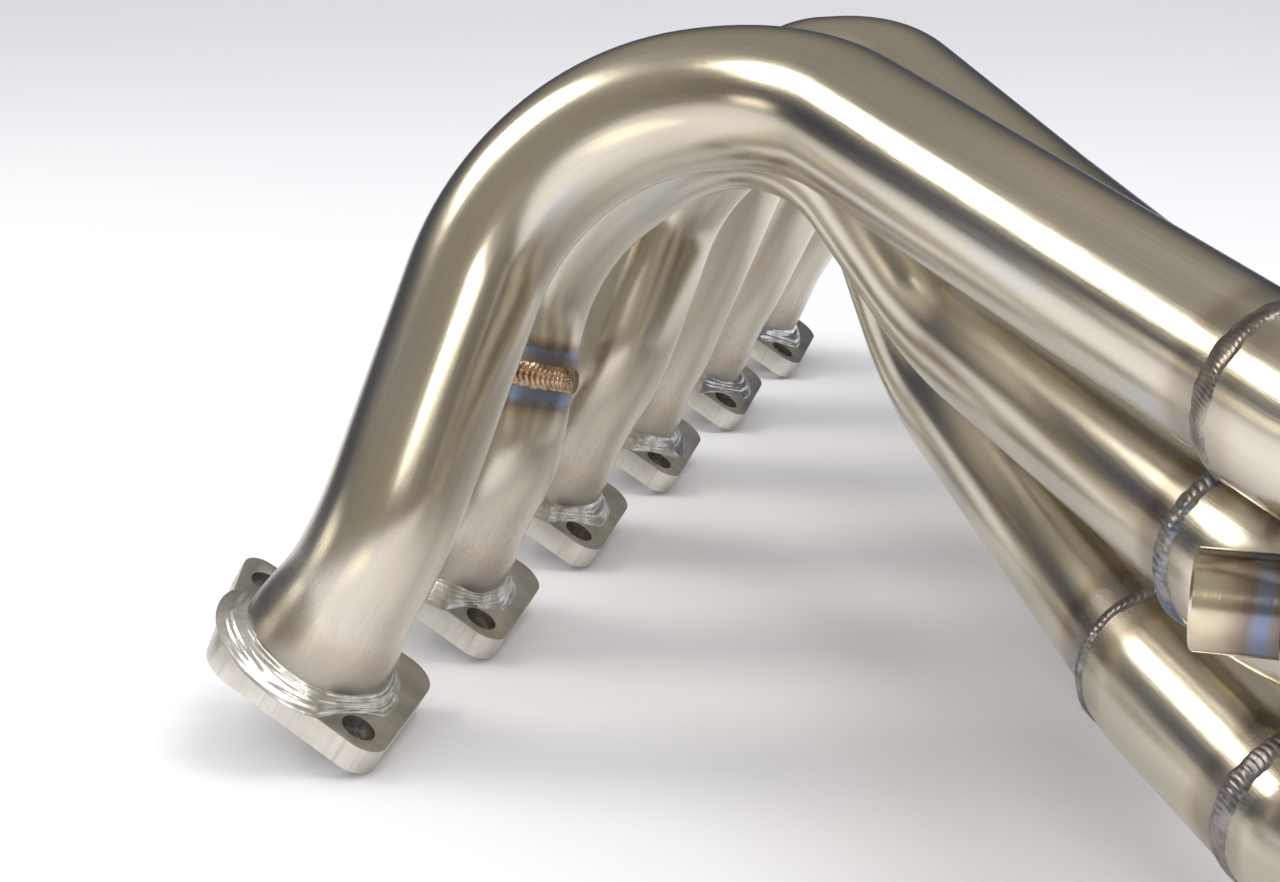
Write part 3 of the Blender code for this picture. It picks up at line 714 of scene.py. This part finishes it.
def drill(piece, holes, thickness):
    """Cut round holes (x, y, radius) through a plate."""
    for x, y, radius in holes:
        deselect()
        bpy.ops.mesh.primitive_cylinder_add(vertices=64, radius=radius, depth=thickness * 3,
                                            location=(x, y, thickness / 2))
        cutter = bpy.context.object
        apply_modifier(piece, "BOOLEAN", operation="DIFFERENCE", solver="EXACT", object=cutter)
        bpy.data.objects.remove(cutter, do_unlink=True)


def plate(outline, thickness, holes, bevel):
    """A flat plate with rounded edges; its sides and its holes have their own finish."""
    deselect()
    bpy.ops.mesh.primitive_circle_add(vertices=len(outline), radius=1.0, fill_type="NGON")
    piece = bpy.context.object
    for vertex, point in zip(piece.data.vertices, outline):
        vertex.co = (point.x, point.y, 0.0)
    bpy.ops.object.mode_set(mode="EDIT")
    bpy.ops.mesh.select_all(action="SELECT")
    bpy.ops.mesh.extrude_region_move(TRANSFORM_OT_translate={"value": (0.0, 0.0, thickness)})
    bpy.ops.mesh.select_all(action="SELECT")
    bpy.ops.mesh.normals_make_consistent(inside=False)
    bpy.ops.object.mode_set(mode="OBJECT")
    drill(piece, holes, thickness)
    apply_modifier(piece, "BEVEL", width=bevel, segments=3, limit_method="ANGLE",
                   angle_limit=math.radians(50.0), harden_normals=False)
    for face in piece.data.polygons:
        level = abs(face.normal.z) > 0.5
        in_hole = any((face.center.xy - Vector((x, y))).length < radius + bevel * 1.2
                      for x, y, radius in holes)
        face.material_index = 0 if level else 2 if in_hole else 1
    return piece


def port_flanges():
    x, y = FLANGE_BOLT
    holes = ((0.0, 0.0, PORT_BORE_RADIUS), (x, y, STUD_HOLE_RADIUS), (-x, -y, STUD_HOLE_RADIUS))
    tilt = Matrix.Rotation(GASKET_TILT, 4, "Y")
    for i in range(len(PRIMARIES)):
        piece = plate(rounded_outline(FLANGE_CORNERS), FLANGE_THICKNESS, holes, 0.0006)
        smooth(piece)
        settle(piece, Matrix.Translation(port_centre(i)) @ tilt)
        hand_over(piece, f"port_flange_plate_{i + 1}", "flange_steel", [f"port_flange_{i + 1}"],
                  "plate_face", "plate_edge", "hole")


def fillets():
    """Heaped filler metal between each tube foot and its flange, smeared along the joint."""
    side, up = axis_frame(PORT_AXIS)
    tilt = Matrix.Rotation(GASKET_TILT, 3, "Y")
    hole_way = (tilt @ Vector((*FLANGE_BOLT, 0.0))).normalized()
    for i in range(len(PRIMARIES)):
        base = port_centre(i) + PORT_AXIS * FLANGE_THICKNESS
        piece, u, v = wrapped_grid(280, 26)
        places = np.zeros((len(u), 3))
        for j, (share, over) in enumerate(zip(u, v)):
            angle = 2.0 * math.pi * (share % 1.0)
            outward = side * math.cos(angle) + up * math.sin(angle)
            spot = base + outward * FOOT_RADIUS
            near_hole = max(0.0, abs(outward.dot(hole_way)) - 0.90) / 0.10
            wide = 0.0070 + 0.0030 * noise.noise(spot * 55.0 + Vector((0, 0, i * 3.1)))
            wide *= 1.0 - 0.62 * near_hole
            tall = 0.0048 + 0.0022 * noise.noise(spot * 60.0 + Vector((i * 2.3, 0, 7.0)))
            bend = over * math.pi / 2
            out = wide * (1.0 - math.cos(bend)) ** 0.85
            rise = tall * (1.0 - math.sin(bend)) ** 0.85
            lump = noise.noise(Vector((spot.x * 110, spot.y * 110, over * 1.5 + i)))
            fold = noise.noise(Vector((spot.x * 45, spot.y * 45, over * 5.0 + i * 5.0)))
            grain = noise.noise(Vector((spot.x * 380, spot.y * 380, over * 4.0 + i * 2.0)))
            edge = math.sin(over * math.pi) ** 0.7
            swell = edge * (0.0009 + 0.0007 * lump + 0.0008 * abs(fold) + 0.00010 * grain)
            spread = (outward + PORT_AXIS).normalized()
            places[j] = spot + outward * (out - 0.0001) + PORT_AXIS * (rise - 0.0001) + spread * swell
        close_wrap(piece, places, 0.0006)
        smooth(piece, 60.0)
        settle(piece)
        hand_over(piece, f"foot_fillet_{i + 1}", "fillet_steel", [f"flange_weld_{i + 1}"], "fillet")


# ---- tubes ---------------------------------------------------------------------
def primary_steps(index):
    foot, corners, bends = PRIMARIES[index]
    seat = port_centre(index) + PORT_AXIS * (FLANGE_THICKNESS + CLEAR)
    knee = port_centre(index) + PORT_AXIS * foot
    return route([seat, knee] + [Vector(c) for c in corners], bends)


def split_steps(steps, distance):
    """Cut a route in two at a distance from its start, on a straight run."""
    travelled = 0.0
    for i, step in enumerate(steps):
        length = step[3] if step[0] == "run" else step[3] * (step[4] - step[1]).length
        if travelled + length > distance:
            _, start, axis, whole = step
            first = distance - travelled
            joint = start + axis * first
            return (steps[:i] + [("run", start, axis, first)],
                    [("run", joint, axis, whole - first)] + steps[i + 1:], joint, axis)
        travelled += length
    raise ValueError("the joint lies past the end of the route")


def primaries():
    half = WELD_GAP / 2
    routes = [primary_steps(i) for i in range(len(PRIMARIES))]
    for i, steps in enumerate(routes):
        if i == 1:
            lower, upper, joint, axis = split_steps(steps, BUTT_WELD_AT)
            bent_tube("primary_tube_2_foot", trimmed(lower, 0.0, half), PRIMARY_RADIUS,
                      ["primary_2_foot"], [FOOT_HEAT, BUTT_END], foot=True)
            bent_tube("primary_tube_2", trimmed(upper, half, half), PRIMARY_RADIUS,
                      ["primary_2"], [BUTT_START, STEP_END])
            bead("butt_bead_2", ring_path(joint, axis, PRIMARY_RADIUS), axis, 0.0075, 0.0011,
                 0.0017, ["butt_weld_2"], "bronze_bead", seed=3.0, ripple=0.6, lumps=0.2,
                 sag=0.0030)
        else:
            bent_tube(f"primary_tube_{i + 1}", trimmed(steps, 0.0, half), PRIMARY_RADIUS,
                      [f"primary_{i + 1}"], [FOOT_HEAT, SOOT_END if i == 2 else STEP_END], foot=True)
        end, axis = end_of(steps)
        width, crown, pitch, ripple, lumps, finish = STEP_BEADS[i]
        bead(f"step_bead_{i + 1}", ring_path(end, axis, PRIMARY_RADIUS), axis, width, crown,
             pitch, [f"step_weld_{i + 1}"], finish,
             step=STAGE_RADIUS - PRIMARY_RADIUS, seed=i * 1.7, ripple=ripple, lumps=lumps)
    return routes


SEATS = {"top": math.radians(120.0), "outer": 0.0, "bottom": math.radians(240.0)}


def seat(cluster, which, back=0.0):
    angle = SEATS[which]
    offset = COLLECTOR_SIDE * math.cos(angle) + COLLECTOR_UP * math.sin(angle)
    return CLUSTERS[cluster] + offset * SEAT_OFFSET - COLLECTOR_AXIS * back


def stage_steps(start, axis, lead, middle, cluster, which, back, bend):
    corners = [start, start + axis * lead, *middle, seat(cluster, which, back), seat(cluster, which)]
    return route(corners, [bend] * (len(corners) - 2))


def second_stages(routes):
    layout = (
        (0.020, [Vector((0.300, -0.111, 0.132))], "a", "top", 0.031, 0.040),
        (0.016, [Vector((0.306, -0.079, 0.083))], "a", "outer", 0.022, 0.045),
        None,
        (0.020, [], "b", "top", 0.024, 0.045),
        (0.030, [], "b", "bottom", 0.042, 0.045),
        (0.030, [Vector((0.318, 0.103, 0.044))], "b", "outer", 0.024, 0.036),
    )
    half = WELD_GAP / 2
    made = {}
    for i, plan in enumerate(layout):
        start, axis = end_of(routes[i])
        if plan is None:
            steps = route([start, start + axis * 0.012, THIRD_WELD], [0.060])
            cut_back = trimmed(steps, half, half)
        else:
            steps = stage_steps(start, axis, *plan)
            cut_back = trimmed(steps, half, 0.0)
        made[i + 1] = bent_tube(f"second_stage_tube_{i + 1}", cut_back, STAGE_RADIUS,
                                [f"second_stage_{i + 1}"], [SOOT_START if i == 2 else STEP_START, STEP_END])
        if plan is None:
            _, axis = end_of(steps)
            lower = stage_steps(THIRD_WELD, axis, 0.014, [], "a", "bottom", 0.044, 0.045)
            bent_tube("third_stage_tube_3", trimmed(lower, half, 0.0), STAGE_RADIUS,
                      ["third_stage_3"], [STEP_START, STEP_END])
            bead("butt_bead_3", ring_path(THIRD_WELD, axis, STAGE_RADIUS), axis, 0.0070, 0.0008,
                 0.0016, ["butt_weld_3"], "dark_bead", seed=9.0)
    return made


# ---- collectors ------------------------------------------------------------------
def trefoil(radius, share):
    """Outline round the three tubes of a cluster: distance from its middle, and angle."""
    half_width = SEAT_OFFSET * math.sin(math.pi / 3)
    valley = SEAT_OFFSET / 2 + math.sqrt(max(radius ** 2 - half_width ** 2, 0.0))
    reach = math.atan2(valley * math.sin(math.pi / 3), valley * math.cos(math.pi / 3) - SEAT_OFFSET)
    lobe = int(share * 3) % 3
    spread = -reach + 2 * reach * (share * 3 - int(share * 3))
    x = SEAT_OFFSET + radius * math.cos(spread)
    y = radius * math.sin(spread)
    return math.hypot(x, y), lobe * 2 * math.pi / 3 + math.atan2(y, x)


def around_axis(centre, radius, angle):
    return centre + (COLLECTOR_SIDE * math.cos(angle) + COLLECTOR_UP * math.sin(angle)) * radius


def collector(letter):
    mouth = CLUSTERS[letter] - COLLECTOR_AXIS * SEAT_SOCKET
    socket = STAGE_RADIUS + SOCKET_CLEAR + COLLECTOR_WALL
    piece, u, v = wrapped_grid(180, 48)
    places = np.zeros((len(u), 3))
    for i, (share, over) in enumerate(zip(u, v)):
        radius, angle = trefoil(socket, share % 1.0)
        t = min(max((over * COLLECTOR_LENGTH - SEAT_SOCKET) / (COLLECTOR_LENGTH - SEAT_SOCKET), 0.0), 1.0)
        ease = t * t * (3 - 2 * t)
        places[i] = around_axis(mouth + COLLECTOR_AXIS * (over * COLLECTOR_LENGTH),
                                radius * (1 - ease) + OUTLET_RADIUS * ease, angle)
    close_wrap(piece, places, COLLECTOR_WALL)
    mark(piece, [("run", mouth, COLLECTOR_AXIS, COLLECTOR_LENGTH)], [STEP_START, STEP_END])
    smooth(piece)
    settle(piece)
    hand_over(piece, f"collector_shell_{letter}", "tube_steel", [f"collector_{letter}"], "tube")

    def mouth_path(share):
        radius, angle = trefoil(socket - COLLECTOR_WALL / 2, share % 1.0)
        point = around_axis(mouth - COLLECTOR_AXIS * 0.001, radius, angle)
        return point, (point - mouth).normalized()
    bead(f"collector_bead_{letter}", mouth_path, COLLECTOR_AXIS, 0.006, 0.0014, 0.0016,
         [f"collector_weld_{letter}"], "blue_bead", seed=4.0)
    joint = mouth + COLLECTOR_AXIS * (COLLECTOR_LENGTH + WELD_GAP / 2)
    bead(f"outlet_bead_{letter}", ring_path(joint, COLLECTOR_AXIS, OUTLET_RADIUS), COLLECTOR_AXIS,
         0.0080, 0.0013, 0.0016, [f"outlet_weld_{letter}"], "blue_bead", seed=5.0)
    pipe_start = joint + COLLECTOR_AXIS * (WELD_GAP / 2)
    steps = [("run", pipe_start, COLLECTOR_AXIS, OUTLET_PIPE_LENGTH)]
    pipe = bent_tube(f"outlet_tube_{letter}", steps, OUTLET_RADIUS, [f"outlet_pipe_{letter}"],
                     [STEP_START, STEP_END])
    pipe_end = pipe_start + COLLECTOR_AXIS * OUTLET_PIPE_LENGTH
    bead(f"outlet_flange_bead_{letter}",
         ring_path(pipe_end + COLLECTOR_AXIS * (WELD_GAP / 2), COLLECTOR_AXIS, OUTLET_RADIUS),
         COLLECTOR_AXIS, 0.0050, 0.0018, 0.0016, [f"outlet_flange_weld_{letter}"], "blue_bead", seed=6.0)
    outlet_flange(letter, pipe_end + COLLECTOR_AXIS * WELD_GAP)
    return pipe, pipe_start


def outlet_flange(letter, face):
    outline, holes = [], [(0.0, 0.0, OUTLET_RADIUS - COLLECTOR_WALL)]
    for k in range(3):
        angle = math.radians(-90.0 + 120.0 * k)
        bolt = Vector((math.cos(angle), math.sin(angle))) * OUTLET_BOLT_CIRCLE
        holes.append((bolt.x, bolt.y, OUTLET_BOLT_RADIUS))
        for step in range(13):
            spread = angle + math.radians(-60.0 + 10.0 * step)
            outline.append(bolt + Vector((math.cos(spread), math.sin(spread))) * OUTLET_LOBE_RADIUS)
    piece = plate(outline, OUTLET_FLANGE_THICKNESS, holes, 0.0006)
    smooth(piece)
    turn = Matrix((COLLECTOR_SIDE, COLLECTOR_UP, COLLECTOR_AXIS)).transposed().to_4x4()
    settle(piece, Matrix.Translation(face) @ turn)
    hand_over(piece, f"outlet_flange_plate_{letter}", "flange_steel", [f"outlet_flange_{letter}"],
              "plate_face", "plate_edge", "hole")


# ---- sensor bosses ------------------------------------------------------------------
def boss(letter, end, axis, parent, length):
    """A turned boss with a chamfered mouth and a threaded bore, open into its tube."""
    piece = open_ring(end, axis, BUNG_BORE + THREAD_DEPTH, 96)
    profile = ((BUNG_BORE + THREAD_DEPTH, 0.0), (BUNG_RADIUS - BUNG_CHAMFER, 0.0),
               (BUNG_RADIUS, BUNG_CHAMFER),
               (BUNG_RADIUS, length), (BUNG_BORE, length))
    last_radius, last_height = profile[0]
    for radius, height in profile[1:]:
        bpy.ops.mesh.extrude_region_move(TRANSFORM_OT_translate={"value": axis * (height - last_height)})
        bpy.ops.transform.resize(value=(radius / last_radius,) * 3, center_override=end + axis * height)
        last_radius, last_height = radius, height
    turns = int(length / THREAD_PITCH)
    for k in range(turns * 2):
        height = length * (1 - (k + 1) / (turns * 2))
        radius = BUNG_BORE + (THREAD_DEPTH if k % 2 == 0 else 0.0)
        if k == turns * 2 - 1:
            radius = BUNG_BORE + THREAD_DEPTH
        bpy.ops.mesh.extrude_region_move(TRANSFORM_OT_translate={"value": axis * (height - last_height)})
        bpy.ops.transform.resize(value=(radius / last_radius,) * 3, center_override=end + axis * height)
        last_radius, last_height = radius, height
    bpy.ops.mesh.select_all(action="SELECT")
    bpy.ops.mesh.remove_doubles(threshold=0.00001)
    bpy.ops.mesh.normals_make_consistent(inside=False)
    bpy.ops.object.mode_set(mode="OBJECT")
    mark(piece, [("run", end, axis, length)], [BUNG_HEAT])
    smooth(piece, 30.0)
    settle(piece)
    deselect()
    drill_at = end + ORIGIN_SHIFT + axis * (length * 0.6)
    bpy.ops.mesh.primitive_cylinder_add(vertices=64, radius=BUNG_BORE, depth=length * 1.1,
                                        location=drill_at, rotation=axis.to_track_quat("Z", "Y").to_euler())
    cutter = bpy.context.object
    apply_modifier(parent, "BOOLEAN", operation="DIFFERENCE", solver="EXACT", object=cutter)
    bpy.data.objects.remove(cutter, do_unlink=True)
    hand_over(piece, f"sensor_boss_turned_{letter}", "boss_steel", [f"sensor_boss_{letter}"], "boss")


# ---- the part -------------------------------------------------------------------------
port_flanges()
fillets()
stages = second_stages(primaries())
boss("a", BUNG_A_END, Vector((1.0, 0.0, 0.0)), stages[2], 0.0185)
for letter in CLUSTERS:
    pipe, pipe_start = collector(letter)
    if letter == "b":
        middle = pipe_start + COLLECTOR_AXIS * (OUTLET_PIPE_LENGTH / 2)
        boss("b", middle + COLLECTOR_UP * (OUTLET_RADIUS + 0.012), -COLLECTOR_UP, pipe, 0.0135)


# ---- stage, light and camera -------------------------------------------------------------
def floor():
    deselect()
    bpy.ops.mesh.primitive_plane_add(size=12.0, location=(0.0, 0.0, -0.0002))
    sheet = bpy.context.object
    sheet.name = "floor"
    material, w, shader = new_material("pale_paper", Roughness=0.55, Specular_IOR_Level=0.25)
    place = w.add("TexCoord").outputs["Object"]
    tone = w.noise(place, 3.0, 2.0)
    colour = w.mix(tone, (0.83, 0.83, 0.845, 1.0), (0.87, 0.87, 0.88, 1.0))
    material.node_tree.links.new(colour, shader.inputs["Base Color"])
    sheet.data.materials.append(material)


def soft_light(name, location, target, size, power, colour=(1.0, 1.0, 1.0)):
    data = bpy.data.lights.new(name, "AREA")
    data.shape = "RECTANGLE"
    data.size, data.size_y = size
    data.energy = power
    data.color = colour
    lamp = bpy.data.objects.new(name, data)
    bpy.context.scene.collection.objects.link(lamp)
    lamp.location = location
    lamp.rotation_euler = (Vector(target) - Vector(location)).to_track_quat("-Z", "Y").to_euler()
    return lamp


def unseen_card(name, size, location, rotation, colour):
    """A glowing card that only shows in reflections: a painted reflection of the walls and the table round
    the stage.
    """
    deselect()
    bpy.ops.mesh.primitive_plane_add(size=1.0, location=location, rotation=rotation)
    card = bpy.context.object
    card.name = name
    card.scale = (size[0], size[1], 1.0)
    card.visible_camera = card.visible_diffuse = card.visible_shadow = False
    material = bpy.data.materials.new(name)
    material.use_nodes = True
    shader = material.node_tree.nodes["Principled BSDF"]
    shader.inputs["Base Color"].default_value = (0.0, 0.0, 0.0, 1.0)
    shader.inputs["Specular IOR Level"].default_value = 0.0
    shader.inputs["Emission Color"].default_value = (*colour, 1.0)
    shader.inputs["Emission Strength"].default_value = 1.0
    card.data.materials.append(material)
    return card


def studio():
    world = bpy.data.worlds.new("studio")
    bpy.context.scene.world = world
    world.use_nodes = True
    w = Wiring(world.node_tree)
    direction = w.add("TexCoord").outputs["Generated"]
    parts = w.add("SeparateXYZ", {"Vector": direction}).outputs
    room = w.ramp(w.spread(parts["Z"], 0.0, 1.0, smooth=False), (
        (0.0, (0.10, 0.095, 0.10)), (0.22, (0.045, 0.058, 0.10)), (0.36, (0.13, 0.12, 0.11)),
        (0.60, (0.30, 0.28, 0.24)), (1.0, (0.42, 0.40, 0.37))))
    front = w.spread(parts["Y"], -0.95, -0.15, 1.0, 0.0)
    room = w.mix(w.math("MULTIPLY", front, 0.85), room, (0.36, 0.33, 0.26, 1.0))
    glossy = w.add("LightPath").outputs["Is Glossy Ray"]
    colour = w.mix(glossy, (0.86, 0.86, 0.90, 1.0), room)
    background = world.node_tree.nodes["Background"]
    world.node_tree.links.new(colour, background.inputs["Color"])
    background.inputs["Strength"].default_value = 1.0
    soft_light("left_softbox", (-1.27, -0.20, 1.05), (-0.15, -0.05, 0.12), (0.60, 0.38), 7.0,
               (1.0, 0.95, 0.86))
    soft_light("front_softbox", (0.45, -1.39, 0.80), (-0.20, -0.10, 0.12), (0.62, 0.30), 4.0,
               (1.0, 0.96, 0.89))
    soft_light("overhead_panel", (0.35, 0.10, 1.5), (0.15, 0.0, 0.1), (0.9, 0.9), 9.5)
    unseen_card("left_window", (0.16, 0.50), (-1.45, -0.66, 0.27), (0.0, math.radians(90.0), 0.0),
                (2.6, 2.4, 2.05))
    # glowing card on the floor in front, seen only in reflections: painted reflection of brightly lit
    # paper, which gives the leg its painted highlight
    unseen_card("painted_paper_glare", (0.17, 0.52), (-0.24, -0.63, 0.003), (0.0, 0.0, 0.0),
                (2.0, 1.88, 1.62))
    # dark card that glows dimly and shows only in reflections: painted reflection of dim ground to the
    # right of the stage
    unseen_card("painted_dim_ground_reflection", (5.6, 12.0), (0.44 + 2.8, 0.0, 0.002), (0.0, 0.0, 0.0),
                (0.11, 0.095, 0.075))


def camera():
    data = bpy.data.cameras.new("camera")
    data.lens = 70.03
    data.sensor_width = 36.0
    obj = bpy.data.objects.new("camera", data)
    bpy.context.scene.collection.objects.link(obj)
    obj.location = (0.0461, -0.7196, 0.2672)
    obj.rotation_euler = (math.radians(74.32), 0.0, math.radians(17.66))
    bpy.context.scene.camera = obj


floor()
studio()
camera()
bpy.context.scene.view_settings.view_transform = "Standard"

bpy.context.view_layer.update()
